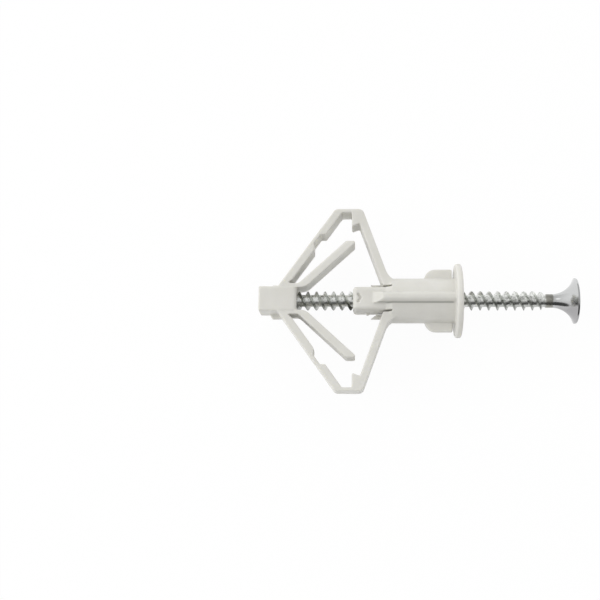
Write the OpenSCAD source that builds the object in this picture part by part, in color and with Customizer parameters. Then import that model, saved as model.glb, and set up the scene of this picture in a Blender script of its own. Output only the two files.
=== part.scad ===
// Winged plastic anchor for hollow walls, with its bugle-head screw.
// +X runs along the screw, out of the wall. The wings open along Y.
// The origin is on the screw's axis, on the flange face that seats on the wall.

/* [Sleeve and flange] */
// Diameter of the sleeve, which is the hole drilled in the wall
sleeve_d = 8; // [7.5:0.1:10]
// Length of the sleeve, from the flange to where the legs join
sleeve_len = 11.2; // [9:0.1:20]
// Length of the taper that brings the sleeve down to the guide
sleeve_taper = 1.6; // [1:0.1:3]
// Diameter of the flange
flange_d = 13.2; // [12.2:0.1:18]
// Thickness of the flange
flange_t = 1.1; // [0.9:0.1:2]
// Radius on both edges of the flange rim
flange_edge = 0.35; // [0.1:0.05:0.4]

/* [Fins and ribs] */
// Height of each fin above the sleeve
fin_rise = 1.65; // [1:0.05:2]
// Length of each fin
fin_len = 4.9; // [3:0.1:8]
// Thickness of each fin
fin_t = 1; // [0.8:0.1:2]
// Radius of each fin's leading corner
fin_round = 1.9; // [0.4:0.1:2.4]
// Slit between the fins and the flange
fin_slit = 0.45; // [0.2:0.05:0.6]
// Height of each long rib above the sleeve
rib_rise = 1; // [0.5:0.05:1.2]
// Width of a rib at its crest
rib_crest = 1; // [0.6:0.1:1.4]
// Width of a rib at its foot
rib_foot = 1.9; // [1.4:0.1:2.4]
// Length of the ramp at the front end of a rib
rib_ramp = 2; // [1:0.1:4]

/* [Guide] */
// Length of the guide that stands out of the sleeve
guide_len = 6.8; // [4:0.1:9]
// Wall of the guide beside the screw, where the wings fold
guide_wall = 0.25; // [0.2:0.05:0.5]
// Depth of the guide, across the wings
guide_h = 6; // [5.6:0.1:6.4]
// Radius along the guide's edges
guide_edge = 0.6; // [0.2:0.1:0.9]
// Length of the arrowhead pressed into the guide's face
arrow_len = 0.95; // [0.6:0.05:1.4]
// Width of the arrowhead
arrow_w = 1.6; // [1.2:0.1:2.6]
// Width of the arrowhead's two strokes
arrow_stroke = 0.5; // [0.3:0.05:0.6]
// Depth of the arrowhead
arrow_depth = 0.35; // [0.2:0.05:0.6]

/* [Nose] */
// Length of the nose block
nose_len = 6.8; // [5:0.1:9]
// Wall of the nose beside the screw
nose_wall = 0.45; // [0.3:0.05:0.8]
// Depth of the nose block, across the wings
nose_h = 5.2; // [5.2:0.1:6.2]
// Radius along the nose's edges
nose_edge = 0.3; // [0.2:0.1:0.8]
// Radius on the nose's inner end
nose_end = 0.7; // [0.2:0.1:1.2]
// Open space between the nose and the guide
nose_gap = 10; // [8:0.1:14]

/* [Wings] */
// Distance across the open wings
wing_span = 32.8; // [27:0.1:40]
// Depth of the wings
wing_depth = 5; // [4:0.1:5.1]
// Thickness of the legs and the arms
leg_t = 1.4; // [1.1:0.05:1.6]
// Thickness of the film hinges at the apex and at the notch
hinge_t = 0.65; // [0.5:0.05:0.9]
// Thickness of the front leg where it joins the nose
root_t = 1.2; // [0.8:0.05:1.3]
// Length of each apex, along the screw
apex_len = 4.9; // [4:0.1:6]
// Distance from the sleeve's end forward to the apex
apex_ahead = 5.1; // [3:0.1:7]
// Radius on the outside of each apex corner
apex_round = 1; // [0.3:0.1:1.4]
// Distance from the nose's inner face back to the front leg's root
root_back = 3.4; // [2.6:0.1:4]
// Distance the rear leg's root stands ahead of the sleeve's end
rear_root = 0.6; // [0.3:0.1:1.2]
// Radius between the rear leg and the sleeve
rear_fillet = 3; // [0.4:0.1:3.4]
// Height of the notch's lower end, as a share of the leg's rise
notch_low = 0.553; // [0.4:0.001:0.6]
// Height of the notch's upper end, as a share of the leg's rise
notch_high = 0.668; // [0.62:0.001:0.75]

/* [Stop teeth and arms] */
// Length of each stop tooth, along the screw
tooth_len = 1.4; // [1:0.1:1.8]
// Drop of each stop tooth under the apex
tooth_drop = 2.65; // [1.5:0.05:3]
// Rise of the tooth's end towards the leg
tooth_slope = 0.6; // [0.2:0.1:1]
// Angle between an arm and the screw
arm_angle = 42.5; // [38:0.5:46]
// Distance from the nose's inner face to the arm's outer face, at the film
arm_start = 0.3; // [0.3:0.1:0.8]
// Height of an arm's cut end above the axis
arm_reach = 10.5; // [8:0.05:11]
// Distance from the nose's inner face to the arm's far end
arm_run = 10.35; // [8:0.05:12]
// Thickness of the film hinge that holds an arm
arm_film = 0.75; // [0.5:0.05:0.9]
// Radius under the arm where it leaves the film
arm_bend = 2.4; // [0.6:0.1:3]
// Slot between the arm's root and the front leg
arm_slot = 0.55; // [0.4:0.05:0.8]

/* [Webs] */
// Thickness of the webs at the legs' roots
web_t = 1; // [0.6:0.1:1.4]
// Distance of the webs' near face behind the middle plane
web_back = 0.9; // [0:0.1:1.4]
// Height of the webs above the nose's side
web_rise = 0.83; // [0.4:0.01:0.9]
// Length of the web ahead of the front leg's root
nose_web = 1.65; // [0.6:0.05:2]
// Length of the web ahead of the rear leg's inner face
guide_web = 1.9; // [1:0.1:2.5]
// Slant at the free end of each web
web_slant = 0.5; // [0.2:0.1:1]

/* [Screw] */
// Diameter over the screw's thread
screw_d = 3.5; // [2.9:0.1:4.2]
// Length of the screw, from its flat face to its point
screw_len = 55; // [45:1:70]
// Diameter of the plain neck under the head
neck_d = 2.4; // [2.2:0.1:2.8]
// Length of the plain neck
neck_len = 0.9; // [0.5:0.1:2]
// Length of the cone where the thread runs out into the neck
run_out = 0.4; // [0.2:0.1:1]
// Length of the screw's point
point_len = 5.2; // [3:0.1:6]
// Diameter of the screw's head
head_d = 8.2; // [6.8:0.1:9.9]
// Thickness of the head's rim
head_rim = 0.35; // [0.2:0.05:0.6]
// Length of the trumpet under the head
trumpet_len = 4; // [3.2:0.1:5]
// Depth of the cross recess
recess_depth = 2.4; // [1.8:0.1:2.8]
// Width across the cross recess at the face
recess_w = 4.6; // [3.6:0.1:5]
// Width of the recess's wings
recess_t = 0.9; // [0.6:0.1:1.2]
// Distance the screw's face stands out from the flange
stand_off = 20.2; // [2:0.1:24]

/* [Hidden] */
$fn = 96;
eps = 0.01;
// Radial clearance of the thread in the nose and in the guide
guide_clear = 0.05;
// Radial clearance of the thread in the wider sleeve bore
sleeve_clear = 0.45;
// Clearance of the head in its seat
seat_clear = 0.03;
// Width of the slit that parts the rear leg's root from the guide
slit_t = 0.3;
// Reach of that slit into the sleeve
slit_reach = 0.6;
// Radius of a rib's crest, as a share of the crest's width
crest_share = 0.45;
// Depth to which ribs and plates are sunk into what carries them
sink = 0.3;
// Radii in the corners of legs and arms
sharp_r = 0.15;
small_r = 0.25;
// Bevel on the edge of the screw's face
face_bevel = 0.15;
// Radius of the pip that the gate leaves on the guide's side
pip_r = 0.35;
// Distance of the pip from the guide's end
pip_ahead = 2.6;
// Steps on each rounded corner
steps = 5;

sleeve_r = sleeve_d / 2;
flange_r = flange_d / 2;
bore_r = screw_d / 2 + guide_clear;
wide_r = screw_d / 2 + sleeve_clear;
guide_w = 2 * (bore_r + guide_wall);
nose_w = 2 * (bore_r + nose_wall);
guide_x = -(sleeve_len + guide_len);
nose_in = guide_x - nose_gap;
nose_out = nose_in - nose_len;
cone_x = -(sleeve_len + sleeve_taper);
wide_end = -sleeve_len + sleeve_taper;
half_span = wing_span / 2;
bridge_y = half_span - hinge_t;
slit_y = guide_w / 2 + slit_t;
web_y = nose_w / 2 + web_rise;
head_r = head_d / 2;
neck_r = neck_d / 2;
face_x = flange_t + stand_off;
flare_rise = head_r - neck_r;
flare_r = (trumpet_len * trumpet_len + flare_rise * flare_rise) / (2 * flare_rise);

// The outer faces of the two legs are straight lines from root to apex.
front_root = [nose_in - root_back, nose_w / 2];
front_apex = [-sleeve_len - apex_ahead - apex_len, half_span];
rear_foot = [-sleeve_len - rear_root, sleeve_r];
rear_apex = [-sleeve_len - apex_ahead, half_span];
front_angle = atan2(front_apex.y - front_root.y, front_apex.x - front_root.x);
rear_angle = atan2(rear_apex.y - rear_foot.y, rear_foot.x - rear_apex.x);

// X on a leg's face at height y, where t is how deep the face lies in the leg.
function front_x(y, t = 0) = front_root.x + (y - front_root.y) / tan(front_angle) + t / sin(front_angle);
function front_y(x, t = 0) = front_root.y + (x - front_root.x - t / sin(front_angle)) * tan(front_angle);
function rear_x(y, t = 0) = rear_foot.x - (y - rear_foot.y) / tan(rear_angle) - t / sin(rear_angle);

// The same for an arm, which starts at the top of its film.
arm_base = nose_w / 2 - nose_wall / 2;
arm_top = arm_base + arm_film;
slot_top = arm_top + arm_slot;
function arm_x(y, t = 0) = nose_in + arm_start + (y - arm_top) / tan(arm_angle) + t / sin(arm_angle);
function arm_y(x, t = 0) = arm_top + (x - nose_in - arm_start - t / sin(arm_angle)) * tan(arm_angle);

// Points of an outline whose corners are [x, y, radius].
function unit(v) = v / norm(v);
function flat(p) = [p.x, p.y];
function corner(a, b, c, r) =
    let (u = unit(a - b), w = unit(c - b), half = acos(u * w) / 2)
    let (mid = b + unit(u + w) * r / sin(half), reach = r / tan(half))
    let (from = b + u * reach - mid, to = b + w * reach - mid)
    [for (i = [0:steps]) mid + r * unit(from * (steps - i) + to * i)];
function rounded(path) =
    let (n = len(path))
    [for (i = [0:n - 1])
        let (a = flat(path[(i + n - 1) % n]), b = flat(path[i]), c = flat(path[(i + 1) % n]))
        each (path[i].z > 0 ? corner(a, b, c, path[i].z) : [b])];

// The trumpet under a screw head: radius grows on an arc from the neck to the rim.
function flare(x0, grow) =
    [for (i = [0:10]) let (a = i / 10 * asin(trumpet_len / flare_r))
        [x0 + flare_r * sin(a), neck_r + grow + flare_r * (1 - cos(a))]];

module along_x(x0, x1, r0, r1) {
    translate([x0, 0, 0])
        rotate([0, 90, 0])
            cylinder(h = x1 - x0, r1 = r0, r2 = r1);
}

// Turns an outline of [x, radius] about the X axis.
module turned(path) {
    rotate([0, 90, 0])
        rotate_extrude()
            polygon([for (p = path) [p.y, p.x]]);
}

// An outline in the XY plane, extruded to the depth of the wings.
module wing_plate(outline) {
    linear_extrude(height = wing_depth, center = true)
        polygon(rounded(outline));
}

// A rectangle from x0 to x1, rounded by r at its near end and by r_far at its far end.
function end_rounded(x0, x1, w, r, r_far) =
    rounded([[x0, -w / 2, r], [x1, -w / 2, r_far], [x1, w / 2, r_far], [x0, w / 2, r]]);

// A block along X, rounded on its long edges and at its ends.
module soft_block(x0, x1, w, h, edge, far_edge) {
    intersection() {
        translate([x0, 0, 0])
            rotate([90, 0, 90])
                linear_extrude(height = x1 - x0)
                    polygon(end_rounded(-w / 2, w / 2, h, edge, edge));
        linear_extrude(height = 2 * h, center = true)
            polygon(end_rounded(x0, x1, w + eps, edge, 0));
        rotate([90, 0, 0])
            linear_extrude(height = 2 * w, center = true)
                polygon(end_rounded(x0, x1, h + eps, edge, far_edge));
    }
}

module both_sides() {
    children();
    mirror([0, 1, 0]) children();
}

// One wing: front leg with its notch, film hinge at the apex, stop tooth and rear leg.
module wing() {
    low_y = front_root.y + notch_low * (half_span - front_root.y);
    high_y = front_root.y + notch_high * (half_span - front_root.y);
    notch_x = front_x(low_y, hinge_t);
    tooth_y = half_span - tooth_drop;
    tooth_x = rear_x(tooth_y, leg_t) - tooth_len;
    // The rear leg lands just above the sleeve's surface and runs down into it.
    land_y = sqrt(pow(sleeve_r, 2) - pow(wing_depth / 2, 2)) + sink / 2;
    run_x = rear_x(land_y) + rear_fillet;
    wing_plate([
        [front_x(nose_w / 4), nose_w / 4, 0],
        [front_apex.x, front_apex.y, apex_round],
        [rear_apex.x, rear_apex.y, apex_round],
        [rear_x(land_y), land_y, rear_fillet],
        [run_x, land_y - sink, 0],
        [run_x, slit_y, 0],
        [rear_x(slit_y, leg_t), slit_y, sharp_r],
        [rear_x(tooth_y, leg_t), tooth_y, small_r],
        [tooth_x, tooth_y - tooth_slope, small_r],
        [tooth_x, bridge_y, sharp_r],
        [front_x(bridge_y, leg_t), bridge_y, small_r],
        [front_x(high_y, leg_t), high_y, small_r],
        [front_x(high_y, hinge_t), high_y, small_r],
        [notch_x, low_y, sharp_r],
        [notch_x, front_y(notch_x, leg_t), small_r],
        [front_x(slot_top, leg_t), slot_top, small_r],
        [front_x(slot_top, root_t), slot_top, 0],
        [front_x(nose_w / 4, root_t), nose_w / 4, 0]
    ]);
}

// An arm hangs on a thin film at the nose's corner.
module arm() {
    tip_x = nose_in + arm_run;
    wing_plate([
        [front_x(arm_top, root_t / 2), nose_w / 4, 0],
        [front_x(arm_top, root_t / 2), arm_top, 0],
        [arm_x(arm_top), arm_top, arm_bend / 2],
        [arm_x(arm_reach), arm_reach, small_r],
        [tip_x, arm_reach, small_r],
        [tip_x, arm_y(tip_x, leg_t), small_r],
        [arm_x(arm_base, leg_t), arm_base, arm_bend],
        [nose_in - sink, arm_base, 0],
        [nose_in - sink, nose_w / 4, 0]
    ]);
}

// Thin webs that stiffen the legs' roots, towards the back of the moulding.
module webs() {
    nose_end = front_root.x - nose_web;
    guide_end = rear_x(web_y, leg_t) - guide_web;
    translate([0, 0, -web_back - web_t])
        linear_extrude(height = web_t) {
            polygon([
                [nose_end, nose_w / 4],
                [nose_end, nose_w / 2],
                [nose_end + web_slant, web_y],
                [front_x(web_y, root_t / 2), web_y],
                [front_x(nose_w / 4, root_t / 2), nose_w / 4]
            ]);
            polygon([
                [guide_end, web_y],
                [rear_x(web_y, leg_t / 2), web_y],
                [rear_x(slit_y, leg_t / 2), slit_y],
                [rear_x(slit_y, leg_t) - sink, guide_w / 4],
                [guide_end + 2 * web_slant, guide_w / 4],
                [guide_end + 2 * web_slant, slit_y]
            ]);
        }
}

// A fin beside the flange keeps the anchor from turning in the wall.
module fin() {
    outline = [
        [-fin_slit - fin_len, 0, 0],
        [-fin_slit - fin_len, sleeve_r + fin_rise, fin_round],
        [-fin_slit, sleeve_r + fin_rise, small_r],
        [-fin_slit, 0, 0]
    ];
    linear_extrude(height = fin_t, center = true)
        polygon(rounded(outline));
}

// A long rib with sloping flanks, which ramps up from the guide.
module rib() {
    foot_z = guide_h / 2 - sink;
    flank_z = sqrt(pow(sleeve_r, 2) - pow(rib_foot / 2, 2));
    crest_z = sleeve_r + rib_rise;
    start = cone_x - rib_ramp;
    section = [
        [-rib_foot / 2, foot_z, 0],
        [rib_foot / 2, foot_z, 0],
        [rib_foot / 2, flank_z, 0],
        [rib_crest / 2, crest_z, crest_share * rib_crest],
        [-rib_crest / 2, crest_z, crest_share * rib_crest],
        [-rib_foot / 2, flank_z, 0]
    ];
    side = [
        [start, foot_z, 0],
        [cone_x, crest_z + eps, rib_crest],
        [flange_t / 2, crest_z + eps, 0],
        [flange_t / 2, foot_z, 0]
    ];
    intersection() {
        translate([start, 0, 0])
            rotate([90, 0, 90])
                linear_extrude(height = flange_t / 2 - start)
                    polygon(rounded(section));
        rotate([90, 0, 0])
            linear_extrude(height = 2 * rib_foot, center = true)
                polygon(rounded(side));
    }
}

module flange() {
    turned(rounded([[0, 0, 0], [0, flange_r, flange_edge],
                    [flange_t, flange_r, flange_edge], [flange_t, 0, 0]]));
}

// Small round pips on the guide's sides, on the level of the webs.
module pips() {
    both_sides()
        translate([guide_x + pip_ahead, guide_w / 2, -web_back - web_t])
            cylinder(h = web_t, r = pip_r);
}

// An arrowhead pressed into both faces of the guide, pointing at the flange.
module arrowheads() {
    start = guide_x + guide_edge;
    stroke = arrow_stroke;
    for (side = [-1, 1])
        translate([start, 0, side * guide_h / 2])
            linear_extrude(height = 2 * arrow_depth, center = true)
                polygon([[0, -arrow_w / 2], [stroke, -arrow_w / 2], [arrow_len, 0],
                         [stroke, arrow_w / 2], [0, arrow_w / 2], [arrow_len - stroke, 0]]);
}

// Slits that part the rear legs' roots from the guide and taper into the sleeve.
module slits() {
    both_sides()
        linear_extrude(height = sleeve_d, center = true)
            polygon([[cone_x - 1, guide_w / 2], [slit_reach - sleeve_len, guide_w / 2],
                     [-sleeve_len, slit_y], [cone_x - 1, slit_y]]);
}

// The bores through nose, guide and sleeve, and the seat for the screw's head.
module bores() {
    seat_x = flange_t - head_rim - trumpet_len;
    along_x(nose_out - 1, wide_end, bore_r, bore_r);
    along_x(wide_end - (wide_r - bore_r), wide_end + eps, bore_r, wide_r);
    along_x(wide_end, flange_t + 1, wide_r, wide_r);
    turned(concat([[seat_x, 0]], flare(seat_x, seat_clear),
                  [[flange_t + 1, head_r + seat_clear], [flange_t + 1, 0]]));
}

module wing_anchor() {
    color([0.86, 0.86, 0.83])
        difference() {
            union() {
                soft_block(nose_out, nose_in, nose_w, nose_h, nose_edge, nose_end);
                soft_block(guide_x, wide_end, guide_w, guide_h, guide_edge, 0);
                along_x(cone_x, -sleeve_len, guide_h / 2, sleeve_r);
                along_x(-sleeve_len, flange_t / 2, sleeve_r, sleeve_r);
                flange();
                both_sides() {
                    wing();
                    arm();
                    webs();
                    fin();
                }
                rib();
                mirror([0, 0, 1]) rib();
                pips();
            }
            bores();
            arrowheads();
            slits();
        }
}

// Cross recess: two crossed wedges and a cone.
module recess() {
    root = recess_w / 6;
    for (turn = [45, 135])
        rotate([turn, 0, 0])
            rotate([90, 0, 0])
                linear_extrude(height = recess_t, center = true)
                    polygon([[eps, -recess_w / 2], [eps, recess_w / 2],
                             [-recess_depth, root], [-recess_depth, -root]]);
    along_x(-recess_depth, eps, root, 1.5 * root);
}

module screw() {
    flare_x = -head_rim - trumpet_len;
    neck_x = flare_x - neck_len;
    color([0.72, 0.73, 0.74])
        translate([face_x, 0, 0])
            difference() {
                turned(concat([[-screw_len, 0], [point_len - screw_len, screw_d / 2],
                               [neck_x - run_out, screw_d / 2], [neck_x, neck_r]],
                              flare(flare_x, 0),
                              [[-face_bevel, head_r], [0, head_r - face_bevel], [0, 0]]));
                recess();
            }
}

wing_anchor();
screw();
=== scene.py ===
import math
import bmesh
import bpy
from mathutils import Matrix, Quaternion, Vector


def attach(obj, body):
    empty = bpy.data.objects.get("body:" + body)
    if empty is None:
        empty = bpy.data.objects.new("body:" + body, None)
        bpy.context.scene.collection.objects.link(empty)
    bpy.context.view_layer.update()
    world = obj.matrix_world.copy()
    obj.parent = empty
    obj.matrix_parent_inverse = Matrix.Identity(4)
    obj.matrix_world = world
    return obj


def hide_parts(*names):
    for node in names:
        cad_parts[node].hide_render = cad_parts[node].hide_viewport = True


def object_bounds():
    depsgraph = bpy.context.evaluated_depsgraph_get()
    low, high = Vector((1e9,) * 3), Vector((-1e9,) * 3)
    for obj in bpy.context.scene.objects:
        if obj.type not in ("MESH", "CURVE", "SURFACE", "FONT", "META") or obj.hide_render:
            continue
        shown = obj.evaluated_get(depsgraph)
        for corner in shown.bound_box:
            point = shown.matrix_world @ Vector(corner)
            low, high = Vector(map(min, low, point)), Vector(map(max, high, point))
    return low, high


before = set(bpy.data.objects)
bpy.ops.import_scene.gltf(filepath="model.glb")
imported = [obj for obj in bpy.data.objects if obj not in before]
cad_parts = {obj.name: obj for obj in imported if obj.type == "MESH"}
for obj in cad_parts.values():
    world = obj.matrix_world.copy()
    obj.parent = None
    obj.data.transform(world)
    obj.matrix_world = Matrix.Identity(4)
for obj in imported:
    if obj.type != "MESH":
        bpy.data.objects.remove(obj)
cadLow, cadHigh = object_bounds()
scene = bpy.context.scene
mm = 0.001  # the dictionaries give lengths in millimetres, apart from the stage and its lamps


def boxSize(low, high):
    return [round((high[i] - low[i]) / mm, 2) for i in range(3)]


print("frame loaded, CAD box", boxSize(cadLow, cadHigh), "mm")


# small helpers for meshes

def addObject(name, mesh):
    made = bpy.data.objects.new(name, mesh)
    scene.collection.objects.link(made)
    return made


def meshFromBmesh(name, work):
    mesh = bpy.data.meshes.new(name)
    work.to_mesh(mesh)
    work.free()
    return mesh


def closeRings(work, rings):
    # sides between neighbouring rings of corners, and a face on each end
    for near, far in zip(rings, rings[1:]):
        for i in range(len(near)):
            j = (i + 1) % len(near)
            work.faces.new((near[i], near[j], far[j], far[i]))
    work.faces.new(list(reversed(rings[0])))
    work.faces.new(rings[-1])
    bmesh.ops.recalc_face_normals(work, faces=work.faces)


def bakeModifiers(made):
    # turns what the modifiers show into the object's own plain mesh
    graph = bpy.context.evaluated_depsgraph_get()
    mesh = bpy.data.meshes.new_from_object(made.evaluated_get(graph))
    made.modifiers.clear()
    old = made.data
    made.data = mesh
    mesh.name = made.name
    bpy.data.meshes.remove(old)
    return made


def giveMaterial(made, material):
    made.data.materials.clear()
    made.data.materials.append(material)


# small helpers for node trees

def linkIn(tree, socket, value):
    # value is another node's output, or a plain number, colour or vector
    if isinstance(value, bpy.types.NodeSocket):
        tree.links.new(value, socket)
    elif value is not None:
        socket.default_value = value


def calc(tree, operation, *values):
    node = tree.nodes.new("ShaderNodeMath")
    node.operation = operation
    for socket, value in zip(node.inputs, values):
        linkIn(tree, socket, value)
    return node.outputs[0]


def zeroToOne(tree, value):
    return calc(tree, "MINIMUM", calc(tree, "MAXIMUM", value, 0.0), 1.0)


def mixColours(tree, share, first, second):
    node = tree.nodes.new("ShaderNodeMix")
    node.data_type = "RGBA"
    linkIn(tree, node.inputs[0], share)
    linkIn(tree, node.inputs[6], first)
    linkIn(tree, node.inputs[7], second)
    return node.outputs[2]


def remap(tree, value, fromLow, fromHigh, toLow=0.0, toHigh=1.0):
    node = tree.nodes.new("ShaderNodeMapRange")
    for name, given in (("Value", value), ("From Min", fromLow), ("From Max", fromHigh),
                        ("To Min", toLow), ("To Max", toHigh)):
        linkIn(tree, node.inputs[name], given)
    return node.outputs["Result"]


def remapLengths(tree, value, span, toLow=0.0, toHigh=1.0):
    return remap(tree, value, span[0] * mm, span[1] * mm, toLow, toHigh)


def noise(tree, place, scale, detail, roughness=0.5):
    node = tree.nodes.new("ShaderNodeTexNoise")
    linkIn(tree, node.inputs["Vector"], place)
    linkIn(tree, node.inputs["Scale"], scale)
    linkIn(tree, node.inputs["Detail"], detail)
    linkIn(tree, node.inputs["Roughness"], roughness)
    return node.outputs["Fac"]


def stretch(tree, place, scale):
    node = tree.nodes.new("ShaderNodeMapping")
    linkIn(tree, node.inputs["Vector"], place)
    node.inputs["Scale"].default_value = scale
    return node.outputs["Vector"]


def splitPlace(tree, place):
    node = tree.nodes.new("ShaderNodeSeparateXYZ")
    tree.links.new(place, node.inputs[0])
    return node.outputs


def objectPlace(tree):
    return tree.nodes.new("ShaderNodeTexCoord").outputs["Object"]


def emptyMaterial(name):
    material = bpy.data.materials.new(name)
    material.use_nodes = True
    material.node_tree.nodes.clear()
    return material


def showShader(material, shader):
    tree = material.node_tree
    out = tree.nodes.new("ShaderNodeOutputMaterial")
    tree.links.new(shader.outputs[0], out.inputs["Surface"])


# camera

cameraValues = {
    "place": (-16.78, -36.80, 183.82),
    "aim": (-27.52, 0.18, 0.0),
    "roll": 0.656,              # degrees
    "lens": 62.82,
    "sensor": 36.0,
    "clip": (10, 20000),
}


def addCamera(values):
    data = bpy.data.cameras.new("catalogueCamera")
    data.lens = values["lens"]
    data.sensor_width = values["sensor"]
    data.clip_start, data.clip_end = (distance * mm for distance in values["clip"])
    camera = addObject("catalogueCamera", data)
    camera.location = Vector(values["place"]) * mm
    back = (Vector(values["place"]) - Vector(values["aim"])).normalized()
    right = Vector((0, 1, 0)).cross(back).normalized()
    turn = Matrix((right, back.cross(right), back)).transposed().to_quaternion()
    camera.rotation_mode = "QUATERNION"
    camera.rotation_quaternion = turn @ Quaternion((0, 0, 1), math.radians(values["roll"]))
    scene.camera = camera


addCamera(cameraValues)
print("camera placed")


# floor, room and lamps, in metres

stageValues = {
    "floorSize": 3.0,
    "floorColour": (0.95, 0.95, 0.95, 1),
    "floorGlow": 0.95,          # share of plain white in what the camera sees
    "wallLevel": 0.865,
    "acrossSpan": (-0.9, 0.6),  # from the left wall to the right one
    "acrossForShine": (1.00, 0.46),  # steel shows a bright left wall and a dim right one
    "darkSide": (-0.37, -0.52),  # the unlit wall begins here, along Y
    "darkAbove": (0.0, 0.10),   # and this far above the horizon
    "darkForLight": 0.34,
    "darkForShine": 0.90,
    "window": (-0.25, 0.38, 0.89),  # towards a small bright window that only steel shows
    "windowEdge": (0.972, 0.990),
    "windowGain": 0.55,
    "horizon": (0.0, 0.04),     # up to here steel shows the plain white backdrop
}

lampValues = {
    # name: direction it comes from (x, y, z), distance, size and power
    "softboxTop": {"from": (0.0, 0.90, 0.44), "away": 1.0, "size": 0.75, "power": 1.55},
    "softboxLeft": {"from": (-0.90, 0.0, 0.42), "away": 1.0, "size": 0.70, "power": 3.95},
}


def directRays(tree):
    # 1 for camera rays, and 1 for rays sent on by shiny or clear things
    path = tree.nodes.new("ShaderNodeLightPath")
    shine = calc(tree, "MAXIMUM", path.outputs["Is Glossy Ray"],
                 path.outputs["Is Transmission Ray"])
    return path.outputs["Is Camera Ray"], shine


def paleFloor(values):
    # plain white to the eye, and a pale floor that takes the shadow
    material = emptyMaterial("paleFloor")
    tree = material.node_tree
    matte = tree.nodes.new("ShaderNodeBsdfDiffuse")
    matte.inputs["Color"].default_value = values["floorColour"]
    glow = tree.nodes.new("ShaderNodeEmission")
    mix = tree.nodes.new("ShaderNodeMixShader")
    seen = calc(tree, "MAXIMUM", *directRays(tree))
    tree.links.new(calc(tree, "MULTIPLY", seen, values["floorGlow"]), mix.inputs[0])
    tree.links.new(matte.outputs[0], mix.inputs[1])
    tree.links.new(glow.outputs[0], mix.inputs[2])
    showShader(material, mix)
    return material


def addFloor(values):
    half = values["floorSize"] / 2
    work = bmesh.new()
    corners = [work.verts.new((x, y, cadLow.z)) for x, y in
               ((-half, -half), (half, -half), (half, half), (-half, half))]
    work.faces.new(corners)
    floor = addObject("paleFloor", meshFromBmesh("paleFloor", work))
    giveMaterial(floor, paleFloor(values))


def addRoom(values):
    world = bpy.data.worlds.new("studioRoom")
    scene.world = world
    world.use_nodes = True
    tree = world.node_tree
    tree.nodes.clear()
    place = tree.nodes.new("ShaderNodeTexCoord").outputs["Generated"]
    parts = splitPlace(tree, place)
    camera, shine = directRays(tree)
    # steel shows the unlit wall, which is only a shade in the light
    side = remap(tree, parts["Y"], *values["darkSide"])
    above = remap(tree, parts["Z"], *values["darkAbove"])
    dark = calc(tree, "MULTIPLY", side, above)
    weight = calc(tree, "MULTIPLY_ADD", shine,
                  values["darkForShine"] - values["darkForLight"], values["darkForLight"])
    room = calc(tree, "SUBTRACT", 1.0, calc(tree, "MULTIPLY", dark, weight))
    # the walls are even in the light and fall off to the right in steel
    across = remap(tree, parts["X"], *values["acrossSpan"], *values["acrossForShine"])
    level = calc(tree, "MULTIPLY_ADD", shine,
                 calc(tree, "SUBTRACT", across, values["wallLevel"]), values["wallLevel"])
    facing = tree.nodes.new("ShaderNodeVectorMath")
    facing.operation = "DOT_PRODUCT"
    tree.links.new(place, facing.inputs[0])
    facing.inputs[1].default_value = Vector(values["window"]).normalized()
    window = remap(tree, facing.outputs["Value"], *values["windowEdge"],
                   0.0, values["windowGain"])
    room = calc(tree, "MULTIPLY_ADD", window, shine, calc(tree, "MULTIPLY", room, level))
    # the camera sees plain white, and so does steel below the horizon
    low = remap(tree, parts["Z"], *values["horizon"], 1.0, 0.0)
    white = calc(tree, "MAXIMUM", camera, calc(tree, "MULTIPLY", shine, low))
    direct = calc(tree, "MULTIPLY_ADD", white, calc(tree, "SUBTRACT", 1.0, room), room)
    background = tree.nodes.new("ShaderNodeBackground")
    background.inputs["Color"].default_value = (1, 1, 1, 1)
    tree.links.new(direct, background.inputs["Strength"])
    out = tree.nodes.new("ShaderNodeOutputWorld")
    tree.links.new(background.outputs[0], out.inputs["Surface"])


def addLamps(lamps):
    for name, values in lamps.items():
        data = bpy.data.lights.new(name, "AREA")
        data.shape = "SQUARE"
        data.size = values["size"]
        data.energy = values["power"]
        lamp = addObject(name, data)
        towards = Vector(values["from"]).normalized()
        lamp.location = (cadLow + cadHigh) / 2 + towards * values["away"]
        lamp.rotation_mode = "QUATERNION"
        lamp.rotation_quaternion = towards.to_track_quat("Z", "Y")
        lamp.visible_camera = False
        lamp.visible_glossy = False


addFloor(stageValues)
addRoom(stageValues)
addLamps(lampValues)
scene.view_settings.view_transform = "Standard"
print("floor, room and", len(lampValues), "lamps ready")


# shared surface effects

grainValues = {
    "grainDetail": 2.0,
    "grainRoughness": 0.60,
    "grainSpan": (0.30, 0.70),  # part of the noise that is spread over 0 to 1
    "patchDetail": 3.0,
    "patchRoughness": 0.55,
    "patchSpan": (0.32, 0.68),
}


def groupSockets(group, inputs, outputs):
    for name, kind, value in inputs:
        socket = group.interface.new_socket(name=name, in_out="INPUT", socket_type=kind)
        if value is not None:
            socket.default_value = value
    for name, kind in outputs:
        group.interface.new_socket(name=name, in_out="OUTPUT", socket_type=kind)
    return group.nodes.new("NodeGroupInput").outputs, group.nodes.new("NodeGroupOutput").inputs


def fineGrainGroup(values):
    # a fine pitted grain, and broad faint patches; the sizes given are in millimetres
    group = bpy.data.node_groups.new("fineGrain", "ShaderNodeTree")
    given, result = groupSockets(
        group,
        [("Place", "NodeSocketVector", None), ("Grain Size", "NodeSocketFloat", 0.2),
         ("Patch Size", "NodeSocketFloat", 3.0)],
        [("Height", "NodeSocketFloat"), ("Patches", "NodeSocketFloat")])
    for part, size, name in (("grain", "Grain Size", "Height"), ("patch", "Patch Size", "Patches")):
        scale = calc(group, "DIVIDE", 1 / mm, given[size])
        cloud = noise(group, given["Place"], scale, values[part + "Detail"],
                      values[part + "Roughness"])
        group.links.new(remap(group, cloud, *values[part + "Span"]), result[name])
    return group


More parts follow.
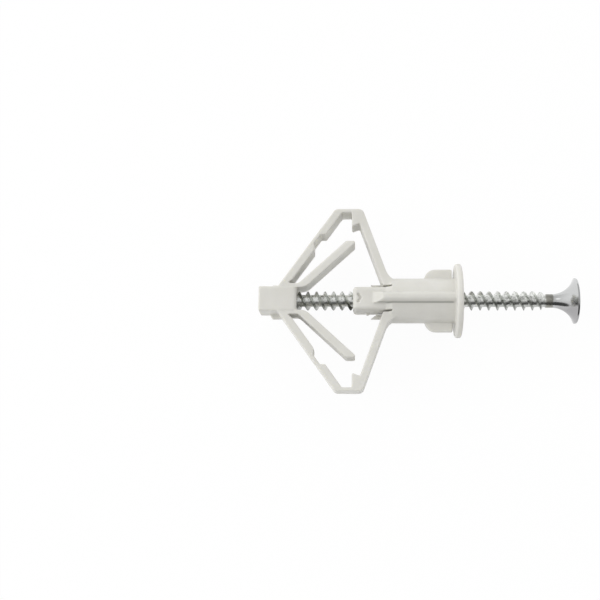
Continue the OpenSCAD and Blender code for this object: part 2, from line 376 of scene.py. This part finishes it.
fineGrain = fineGrainGroup(grainValues)


def placeGrain(tree, place, values):
    node = tree.nodes.new("ShaderNodeGroup")
    node.node_tree = fineGrain
    tree.links.new(place, node.inputs["Place"])
    node.inputs["Grain Size"].default_value = values["grainSize"]
    node.inputs["Patch Size"].default_value = values["patchSize"]
    return node.outputs["Height"], node.outputs["Patches"]


def bumpFrom(tree, height, values):
    node = tree.nodes.new("ShaderNodeBump")
    node.inputs["Strength"].default_value = values["bumpStrength"]
    node.inputs["Distance"].default_value = values["grainDepth"] * mm
    tree.links.new(height, node.inputs["Height"])
    return node.outputs["Normal"]


# moulded plastic of the wing anchor

plasticValues = {
    "colour": (0.700, 0.692, 0.652, 1),
    "patchColour": (0.658, 0.648, 0.606, 1),
    "grainSize": 0.16,
    "patchSize": 4.0,
    "grainDepth": 0.012,
    "bumpStrength": 0.6,
    "rough": (0.40, 0.52),
    "lineHalf": 0.035,          # half the width of the mould's parting line
    "lineDepth": 0.02,
    # painted shade along the rib's lower foot, where the rib shades the sleeve
    "creaseShadeColour": (0.330, 0.330, 0.300, 1),
    "creaseBegin": (-14.3, -13.3),  # the lower foot of the rib, along X
    "creaseEnd": (-0.6, -0.3),
    "creaseAt": -0.98,          # its place along Y
    "creaseHalf": 0.22,
    "creaseAbove": (3.2, 3.5),  # only this high above the middle plane
    "glowWeight": 0.30,
    "glowReach": 0.9,
    "glowShares": (1.0, 1.0, 0.85),  # how far red, green and blue reach
}


def mouldedPlastic(values):
    material = emptyMaterial("mouldedPlastic")
    tree = material.node_tree
    place = objectPlace(tree)
    parts = splitPlace(tree, place)
    grain, patches = placeGrain(tree, place, values)
    # the two halves of the mould met on the middle plane
    offPlane = calc(tree, "ABSOLUTE", parts["Z"])
    line = remapLengths(tree, offPlane, (0.0, values["lineHalf"]), 1.0, 0.0)
    height = calc(tree, "MULTIPLY_ADD", line, values["lineDepth"] / values["grainDepth"], grain)
    # painted shade: the corner under the rib's lower foot, where the rib shades the sleeve, is
    # painted darker
    offFoot = calc(tree, "SUBTRACT", parts["Y"], values["creaseAt"] * mm)
    creaseShade = remapLengths(tree, calc(tree, "ABSOLUTE", offFoot), (values["creaseHalf"], 0.0))
    for limit in (remapLengths(tree, parts["X"], values["creaseBegin"]),
                  remapLengths(tree, parts["X"], values["creaseEnd"], 1.0, 0.0),
                  remapLengths(tree, offPlane, values["creaseAbove"])):
        creaseShade = calc(tree, "MULTIPLY", creaseShade, limit)
    colour = mixColours(tree, patches, values["colour"], values["patchColour"])
    # painted shade mixed into the colour under the rib
    colour = mixColours(tree, creaseShade, colour, values["creaseShadeColour"])
    shader = tree.nodes.new("ShaderNodeBsdfPrincipled")
    tree.links.new(colour, shader.inputs["Base Color"])
    tree.links.new(remap(tree, patches, 0.0, 1.0, *values["rough"]), shader.inputs["Roughness"])
    tree.links.new(bumpFrom(tree, height, values), shader.inputs["Normal"])
    shader.inputs["Subsurface Weight"].default_value = values["glowWeight"]
    shader.inputs["Subsurface Scale"].default_value = values["glowReach"] * mm
    shader.inputs["Subsurface Radius"].default_value = values["glowShares"]
    showShader(material, shader)
    return material


# wing anchor, softened as moulded edges are

anchorValues = {
    "mergeWithin": 0.0005,
    "grid": 0.11,
    "smoothTurns": 4,
    "smoothShare": 0.5,
    "keptFaces": 0.37,
}


def softenedAnchor(values):
    work = bmesh.new()
    work.from_mesh(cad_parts["wing_anchor"].data)
    bmesh.ops.remove_doubles(work, verts=work.verts, dist=values["mergeWithin"] * mm)
    anchor = addObject("mouldedAnchor", meshFromBmesh("mouldedAnchor", work))
    remesh = anchor.modifiers.new("evenGrid", "REMESH")
    remesh.mode = "VOXEL"
    remesh.voxel_size = values["grid"] * mm
    smooth = anchor.modifiers.new("softEdges", "SMOOTH")
    smooth.factor = values["smoothShare"]
    smooth.iterations = values["smoothTurns"]
    thin = anchor.modifiers.new("fewerFaces", "DECIMATE")
    thin.ratio = values["keptFaces"]
    bakeModifiers(anchor)
    anchor.data.shade_smooth()
    giveMaterial(anchor, mouldedPlastic(plasticValues))
    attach(anchor, "anchor")
    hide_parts("wing_anchor")
    print("anchor", len(anchor.data.polygons), "faces")


softenedAnchor(anchorValues)


# zinc-plated steel of the screw

zincValues = {
    "headColour": (0.620, 0.628, 0.625, 1),
    # painted shade: the second head colour and the second thread colour darken the screw's lower
    # side
    "headShadedColour": (0.400, 0.396, 0.402, 1),
    "threadColour": (0.900, 0.915, 0.885, 1),
    "threadShadedColour": (0.310, 0.316, 0.303, 1),
    "threadGrime": (0.400, 0.408, 0.388, 1),
    "neckColour": (0.300, 0.297, 0.268, 1),
    "neckSpan": (15.9, 16.2),   # thread gives way to neck here, along X
    "headSpan": (17.22, 17.36),  # and neck to head here
    "spanWander": 0.25,
    "shadeSpan": (0.5, -1.4),   # painted shade: unshaded to shaded, along Y, so the lower side is darker
    "shadeWander": 0.9,
    "speckSize": 0.40,
    "speckDetail": 2.0,
    "speckEdge": (0.46, 0.68),
    "speckDepth": 0.03,
    "grainSize": 0.10,
    "patchSize": 1.4,
    "grainDepth": 0.004,
    "bumpStrength": 0.5,
    "dentSize": 1.6,
    "dentDetail": 1.0,
    "dentStretch": (0.7, 1.0, 1.0),
    "dentDepth": 0.05,
    "headRough": (0.10, 0.18),
    "threadRough": (0.26, 0.38),
}


def zincPlate(values):
    material = emptyMaterial("zincPlate")
    tree = material.node_tree
    place = objectPlace(tree)
    parts = splitPlace(tree, place)
    grain, patches = placeGrain(tree, place, values)
    # the plating is dull in the thread, stained on the neck and bright on the head
    along = calc(tree, "MULTIPLY_ADD", patches, values["spanWander"] * mm, parts["X"])
    neck = remapLengths(tree, along, values["neckSpan"])
    head = remapLengths(tree, along, values["headSpan"])
    specks = noise(tree, place, 1 / (values["speckSize"] * mm), values["speckDetail"])
    grime = remap(tree, specks, *values["speckEdge"])
    # dents everywhere, and pits under the grime in the thread
    dents = noise(tree, stretch(tree, place, values["dentStretch"]),
                  1 / (values["dentSize"] * mm), values["dentDetail"])
    height = calc(tree, "MULTIPLY_ADD", dents, values["dentDepth"] / values["grainDepth"], grain)
    pitted = calc(tree, "MULTIPLY", calc(tree, "SUBTRACT", 1.0, head),
                  values["speckDepth"] / values["grainDepth"])
    height = calc(tree, "MULTIPLY_ADD", calc(tree, "MULTIPLY", grime, pitted), -1.0, height)
    # painted shade: head and thread turn darker towards their lower side, along a wandering edge
    lowerShade = calc(tree, "MULTIPLY_ADD", patches, values["shadeWander"] * mm, parts["Y"])
    lowerShade = remapLengths(tree, lowerShade, values["shadeSpan"])
    colour = mixColours(tree, lowerShade, values["threadColour"], values["threadShadedColour"])
    colour = mixColours(tree, grime, colour, values["threadGrime"])
    colour = mixColours(tree, neck, colour, values["neckColour"])
    plated = mixColours(tree, lowerShade, values["headColour"], values["headShadedColour"])
    shader = tree.nodes.new("ShaderNodeBsdfPrincipled")
    shader.inputs["Metallic"].default_value = 1.0
    tree.links.new(mixColours(tree, head, colour, plated), shader.inputs["Base Color"])
    dull = remap(tree, patches, 0.0, 1.0, *values["threadRough"])
    bright = remap(tree, patches, 0.0, 1.0, *values["headRough"])
    rough = calc(tree, "MULTIPLY_ADD", head, calc(tree, "SUBTRACT", bright, dull), dull)
    tree.links.new(rough, shader.inputs["Roughness"])
    tree.links.new(bumpFrom(tree, height, values), shader.inputs["Normal"])
    showShader(material, shader)
    return material


# screw: a threaded shank and a bugle head with a cross recess

screwValues = {
    "tip": -33.70,
    "tipRadius": 0.02,
    "pointLength": 5.2,
    "coreRadius": 1.07,
    "crestRadius": 1.72,
    "crestGap": 1.53,
    "starts": 2,
    "crestAt": 9.0125,          # where a crest passes the upper side
    "crestHalf": 0.04,
    "flankHalf": 0.30,
    "flankHollow": 1.5,
    "columns": 48,
    "threadEnd": 15.75,
    "fadeLength": 0.7,
    "shankEnd": 16.4,
    "sharpAbove": 32,           # degrees; flatter edges are shaded smooth
}

headValues = {
    "sink": 15.55,              # the head's body begins here, inside the shank
    "collar": 0.94,
    "neckRadius": 1.2,
    "neckFrom": 16.0,
    "neckTo": 16.95,
    "rimRadius": 4.04,
    "rimFrom": 20.95,
    "rimTo": 21.13,
    "rimRound": 0.17,
    "rimSteps": 6,
    "face": 21.3,
    "columns": 96,
    "arcSteps": 22,
}

recessValues = {
    "depth": 2.4,
    "width": 4.6,
    "wall": 0.9,
    "wallTaper": 0.12,
    "rootWidth": 1.5,
    "clearance": 0.2,           # the cutters stand this far out of the face
    "coneTop": 1.15,
    "coneShare": 0.9,           # of the cross's width at its bottom
    "coneTip": 0.35,
    "coneTipRadius": 0.05,
    "coneColumns": 32,
    "turn": 45,
}


def threadTree():
    tree = bpy.data.node_groups.new("helicalThread", "GeometryNodeTree")
    inputs = [("Tip", "NodeSocketFloat", 0.0), ("Tip Radius", "NodeSocketFloat", 0.0),
              ("Length", "NodeSocketFloat", 1.0), ("Rings", "NodeSocketInt", 100),
              ("Columns", "NodeSocketInt", 48), ("Core Radius", "NodeSocketFloat", 1.0),
              ("Crest Radius", "NodeSocketFloat", 1.5), ("Point Length", "NodeSocketFloat", 5.0),
              ("Crest Gap", "NodeSocketFloat", 1.5), ("Starts", "NodeSocketFloat", 2.0),
              ("Crest Place", "NodeSocketFloat", 0.0), ("Crest Half", "NodeSocketFloat", 0.05),
              ("Flank Half", "NodeSocketFloat", 0.5), ("Flank Hollow", "NodeSocketFloat", 1.0),
              ("Thread End", "NodeSocketFloat", 10.0), ("Fade Length", "NodeSocketFloat", 1.0),
              ("Finish", "NodeSocketMaterial", None)]
    given, result = groupSockets(tree, inputs, [("Geometry", "NodeSocketGeometry")])
    rod = tree.nodes.new("GeometryNodeMeshCylinder")
    rod.fill_type = "NGON"
    tree.links.new(given["Columns"], rod.inputs["Vertices"])
    tree.links.new(given["Rings"], rod.inputs["Side Segments"])
    tree.links.new(given["Length"], rod.inputs["Depth"])
    where = splitPlace(tree, tree.nodes.new("GeometryNodeInputPosition").outputs[0])
    half = calc(tree, "MULTIPLY", given["Length"], 0.5)
    along = calc(tree, "ADD", where["Z"], half)
    x = calc(tree, "ADD", along, given["Tip"])
    angle = calc(tree, "ARCTAN2", where["Y"], where["X"])
    # how far this point is from the nearest crest, along the screw
    turns = calc(tree, "DIVIDE", angle, 2 * math.pi)
    phase = calc(tree, "DIVIDE", calc(tree, "SUBTRACT", x, given["Crest Place"]),
                 given["Crest Gap"])
    phase = calc(tree, "SUBTRACT", phase, calc(tree, "MULTIPLY", turns, given["Starts"]))
    phase = calc(tree, "FRACT", calc(tree, "ADD", phase, 0.5))
    offCrest = calc(tree, "ABSOLUTE", calc(tree, "SUBTRACT", phase, 0.5))
    offCrest = calc(tree, "MULTIPLY", offCrest, given["Crest Gap"])
    slope = calc(tree, "SUBTRACT", given["Flank Half"], given["Crest Half"])
    rise = calc(tree, "DIVIDE", calc(tree, "SUBTRACT", given["Flank Half"], offCrest), slope)
    rise = calc(tree, "POWER", zeroToOne(tree, rise), given["Flank Hollow"])
    # the core and the crests both shrink to the point, and the thread fades out at its end
    share = calc(tree, "DIVIDE", along, given["Point Length"])
    crest = calc(tree, "MINIMUM", given["Crest Radius"],
                 calc(tree, "MULTIPLY", share, given["Crest Radius"]))
    core = calc(tree, "MINIMUM", given["Core Radius"],
                calc(tree, "MULTIPLY_ADD", share, given["Core Radius"], given["Tip Radius"]))
    fade = calc(tree, "DIVIDE", calc(tree, "SUBTRACT", given["Thread End"], x),
                given["Fade Length"])
    height = calc(tree, "MAXIMUM", calc(tree, "SUBTRACT", crest, core), 0.0)
    height = calc(tree, "MULTIPLY", height, zeroToOne(tree, fade))
    radius = calc(tree, "MULTIPLY_ADD", height, rise, core)
    bent = tree.nodes.new("ShaderNodeCombineXYZ")
    tree.links.new(x, bent.inputs["X"])
    tree.links.new(calc(tree, "MULTIPLY", radius, calc(tree, "COSINE", angle)), bent.inputs["Y"])
    tree.links.new(calc(tree, "MULTIPLY", radius, calc(tree, "SINE", angle)), bent.inputs["Z"])
    shape = tree.nodes.new("GeometryNodeSetPosition")
    tree.links.new(rod.outputs["Mesh"], shape.inputs["Geometry"])
    tree.links.new(bent.outputs[0], shape.inputs["Position"])
    real = tree.nodes.new("GeometryNodeRealizeInstances")
    tree.links.new(shape.outputs[0], real.inputs[0])
    finish = tree.nodes.new("GeometryNodeSetMaterial")
    tree.links.new(real.outputs[0], finish.inputs["Geometry"])
    tree.links.new(given["Finish"], finish.inputs["Material"])
    tree.links.new(finish.outputs[0], result["Geometry"])
    return tree


def threadedShank(values, material):
    # one column's turn shifts the thread by one ring exactly, so every crest falls on a ring
    ring = values["crestGap"] * values["starts"] / values["columns"]
    rings = round((values["shankEnd"] - values["tip"]) / ring)
    tree = threadTree()
    shank = addObject("threadedShank", bpy.data.meshes.new("threadedShank"))
    modifier = shank.modifiers.new("helicalThread", "NODES")
    modifier.node_group = tree
    settings = {
        "Rings": rings, "Columns": values["columns"], "Starts": float(values["starts"]),
        "Flank Hollow": values["flankHollow"], "Finish": material,
    }
    lengths = {
        "Tip": values["tip"], "Tip Radius": values["tipRadius"], "Length": rings * ring,
        "Core Radius": values["coreRadius"], "Crest Radius": values["crestRadius"],
        "Point Length": values["pointLength"], "Crest Gap": values["crestGap"],
        "Crest Place": values["crestAt"], "Crest Half": values["crestHalf"],
        "Flank Half": values["flankHalf"], "Thread End": values["threadEnd"],
        "Fade Length": values["fadeLength"],
    }
    for name, length in lengths.items():
        settings[name] = length * mm
    for item in tree.interface.items_tree:
        if item.item_type == "SOCKET" and item.in_out == "INPUT":
            modifier[item.identifier] = settings[item.name]
    return bakeModifiers(shank)


def lathe(name, outline, columns):
    # outline is a list of (x, radius); both ends close on their own faces
    work = bmesh.new()
    angles = [2 * math.pi * i / columns for i in range(columns)]
    rings = [[work.verts.new((x * mm, radius * mm * math.cos(angle),
                              radius * mm * math.sin(angle))) for angle in angles]
             for x, radius in outline]
    closeRings(work, rings)
    return addObject(name, meshFromBmesh(name, work))


def bugleHead(values):
    length = values["rimFrom"] - values["neckTo"]
    rise = values["rimRadius"] - values["neckRadius"]
    bend = (length ** 2 + rise ** 2) / (2 * rise)
    reach = math.asin(length / bend)
    outline = [(values["sink"], values["collar"]), (values["neckFrom"], values["neckRadius"])]
    for i in range(values["arcSteps"] + 1):
        a = reach * i / values["arcSteps"]
        outline.append((values["neckTo"] + bend * math.sin(a),
                        values["neckRadius"] + bend * (1 - math.cos(a))))
    corner = values["rimRound"]
    for i in range(values["rimSteps"] + 1):
        a = math.pi / 2 * i / values["rimSteps"]
        outline.append((values["rimTo"] + corner * math.sin(a),
                        values["rimRadius"] - corner + corner * math.cos(a)))
    return lathe("bugleHead", outline, values["columns"])


def taperedWing(values, face, turn):
    # one wing pair of the cross, wide at the face and narrow at the bottom
    top, low = values["width"] / 2, values["rootWidth"] / 2
    wall, floorWall = values["wall"] / 2, values["wall"] / 2 - values["wallTaper"]
    above = values["clearance"]
    flare = 1 + above / values["depth"] * (top - low) / top
    work = bmesh.new()
    rings = []
    for x, reach, thick in ((face + above, top * flare, wall), (face, top, wall),
                            (face - values["depth"], low, floorWall)):
        rings.append([work.verts.new((x * mm, y * mm, z * mm)) for y, z in
                      ((-reach, -thick), (reach, -thick), (reach, thick), (-reach, thick))])
    closeRings(work, rings)
    bmesh.ops.rotate(work, verts=work.verts, matrix=Matrix.Rotation(math.radians(turn), 3, "X"))
    return addObject("recessWing", meshFromBmesh("recessWing", work))


def recessCone(values, face):
    bottom = face - values["depth"]
    outline = [(bottom - values["coneTip"], values["coneTipRadius"]),
               (bottom, values["rootWidth"] / 2 * values["coneShare"]),
               (face + values["clearance"], values["coneTop"])]
    return lathe("recessCone", outline, values["coneColumns"])


def combine(target, other, operation):
    step = target.modifiers.new(operation, "BOOLEAN")
    step.operation = operation
    step.solver = "EXACT"
    step.object = other
    bakeModifiers(target)
    bpy.data.objects.remove(other)


def bugleHeadScrew():
    zinc = zincPlate(zincValues)
    screw = threadedShank(screwValues, zinc)
    combine(screw, bugleHead(headValues), "UNION")
    for turn in (recessValues["turn"], recessValues["turn"] + 90):
        combine(screw, taperedWing(recessValues, headValues["face"], turn), "DIFFERENCE")
    combine(screw, recessCone(recessValues, headValues["face"]), "DIFFERENCE")
    screw.name = "platedScrew"
    giveMaterial(screw, zinc)
    screw.data.shade_smooth()
    screw.data.set_sharp_from_angle(angle=math.radians(screwValues["sharpAbove"]))
    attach(screw, "screw")
    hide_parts("screw")
    print("screw", len(screw.data.polygons), "faces")


bugleHeadScrew()
